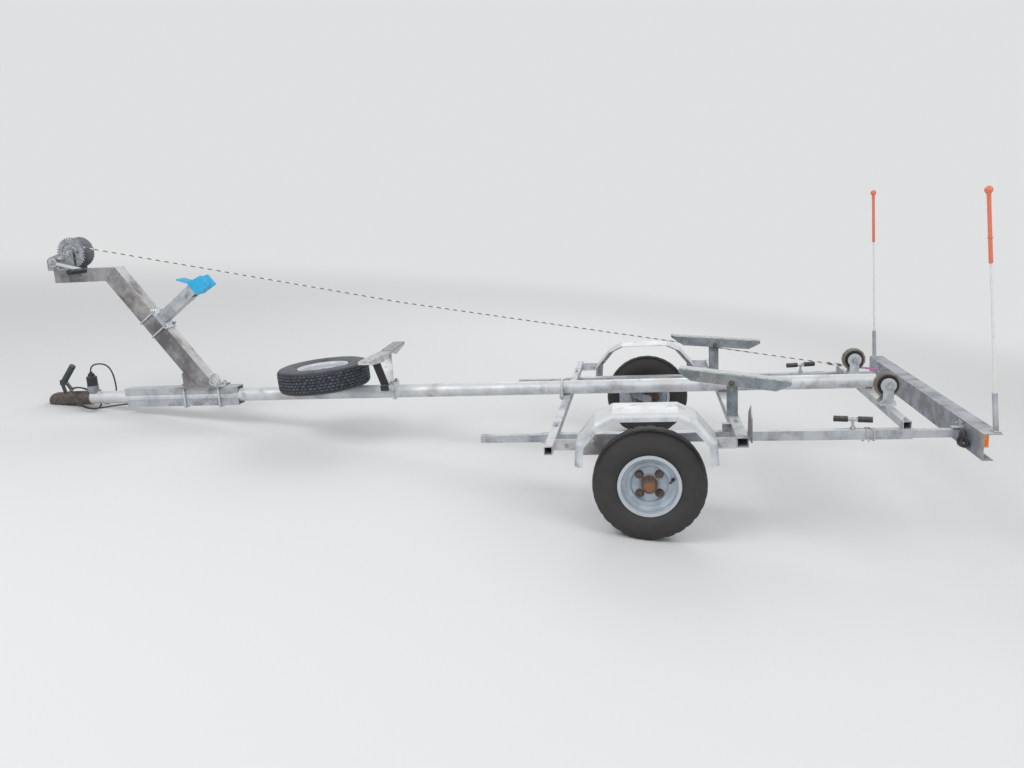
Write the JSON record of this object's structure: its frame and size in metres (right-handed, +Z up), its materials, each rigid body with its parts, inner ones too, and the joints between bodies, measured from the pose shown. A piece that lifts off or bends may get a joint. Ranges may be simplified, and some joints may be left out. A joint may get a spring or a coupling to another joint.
{
  "type": "boat trailer",
  "caption": "Single-axle boat trailer on a round drawbar, with hand winch on a bow post, tilting bunks, rear rollers, spare wheel and a pull-out light beam with marker poles.",
  "frame": {"origin": "on the floor under the middle of the bounding box", "axes": "+X to the trailer's rear, +Y to its far side, +Z up; parked nose-down on its coupling head"},
  "size_m": [4.0022, 1.66, 1.328],
  "materials": {
    "galvanised_steel": "dull galvanised, weathered",
    "dark_zinc": "dark weathered zinc",
    "cast_head": "dark, lightly rusted",
    "rusty_steel": "brown with rust",
    "bright_steel": "bright plated",
    "tyre_rubber": "worn and dusty",
    "black_rubber": "matte",
    "black_plastic": "moulded",
    "blue_rubber": "pale blue, faded",
    "roller_rubber": "worn, brown grey",
    "pad_timber": "weathered strip",
    "wire_rope": "twisted strands",
    "pole_white": "gloss white",
    "sleeve_red": "orange red",
    "lamp_red": "moulded lens",
    "reflector_orange": "prismatic"
  },
  "bodies": {
    "chassis": {"drawbar": "galvanised_steel", "side_rails": "galvanised_steel", "cross_front": "galvanised_steel", "cross_mid": "galvanised_steel", "cross_rear": "galvanised_steel", "packing_plates": "galvanised_steel", "coupling_head": "cast_head", "coupling_lever": "black_plastic", "clamp_channels": "galvanised_steel", "post_foot": "galvanised_steel", "winch_post": "galvanised_steel", "snubber_stem": "galvanised_steel", "snubber_adapter": "galvanised_steel", "bow_snubber": "blue_rubber", "u_bolts": "galvanised_steel", "winch_frame": "galvanised_steel", "winch_cable": "wire_rope", "bow_cradle": "galvanised_steel", "cradle_pads": "black_rubber", "spare_tyre": "tyre_rubber", "spare_rim": "galvanised_steel", "spare_carrier": "galvanised_steel", "hangers": "galvanised_steel", "half_axles": "dark_zinc", "mudguard_near": "galvanised_steel", "mudguard_far": "galvanised_steel", "guard_brackets": "galvanised_steel", "bunk_posts": "galvanised_steel", "roller_forks": "galvanised_steel", "clamp_screws": "bright_steel", "clamp_grips": "black_plastic", "plug_holder": "galvanised_steel", "plug": "black_plastic", "lead_grommet": "black_rubber", "lighting_lead": "black_rubber", "plug_lead": "black_rubber", "lead_coil": "black_rubber"},
    "wheel_near": {"tyre_near": "tyre_rubber", "rim_near": "dark_zinc", "hub_near": "rusty_steel"},
    "wheel_far": {"tyre_far": "tyre_rubber", "rim_far": "dark_zinc", "hub_far": "rusty_steel"},
    "bunk_near": {"bunk_near": "galvanised_steel", "bunk_strip_near": "pad_timber"},
    "bunk_far": {"bunk_far": "galvanised_steel", "bunk_strip_far": "pad_timber"},
    "roller_near": {"roller_near": "roller_rubber"},
    "roller_far": {"roller_far": "roller_rubber"},
    "light_board": {"slide_tubes": "galvanised_steel", "light_beam": "dark_zinc", "lamps": "lamp_red", "reflectors": "reflector_orange", "pole_sockets": "dark_zinc", "marker_poles": "pole_white", "marker_sleeves": "sleeve_red"},
    "drum": {"winch_drum": "bright_steel", "cable_winding": "wire_rope"},
    "crank": {"winch_crank": "bright_steel", "crank_grip": "black_plastic"}
  },
  "joints": [
    {"name": "wheel_near_spin", "type": "hinge", "parent": "chassis", "child": "wheel_near", "pos_m": [0.8706, -0.719, 0.205], "axis": [0, 1, 0], "continuous": true},
    {"name": "wheel_far_spin", "type": "hinge", "parent": "chassis", "child": "wheel_far", "pos_m": [0.8706, 0.719, 0.205], "axis": [0, 1, 0], "continuous": true},
    {"name": "bunk_near_tilt", "type": "hinge", "parent": "chassis", "child": "bunk_near", "pos_m": [1.14435, -0.44, 0.55115], "axis": [0.1704, 0.9851, 0.0232], "range_deg": [-15, 15]},
    {"name": "bunk_far_tilt", "type": "hinge", "parent": "chassis", "child": "bunk_far", "pos_m": [1.14435, 0.44, 0.55115], "axis": [-0.1704, 0.9851, -0.0232], "range_deg": [-15, 15]},
    {"name": "roller_near_spin", "type": "hinge", "parent": "chassis", "child": "roller_near", "pos_m": [1.74682, -0.274, 0.57374], "axis": [0, 1, 0], "continuous": true},
    {"name": "roller_far_spin", "type": "hinge", "parent": "chassis", "child": "roller_far", "pos_m": [1.74682, 0.274, 0.57374], "axis": [0, 1, 0], "continuous": true},
    {"name": "light_board_slide", "type": "slide", "parent": "chassis", "child": "light_board", "axis": [0.9908, 0, 0.1351], "range_m": [-0.12, 0.45]},
    {"name": "drum_spin", "type": "hinge", "parent": "chassis", "child": "drum", "pos_m": [-1.82906, 0, 0.74478], "axis": [0, 1, 0], "continuous": true},
    {"name": "crank_spin", "type": "hinge", "parent": "chassis", "child": "crank", "pos_m": [-1.899, 0, 0.69441], "axis": [0, 1, 0], "continuous": true}
  ],
  "couplings": [
    {"joint": "crank_spin", "follows": "drum_spin", "ratio": -3.3}
  ]
}
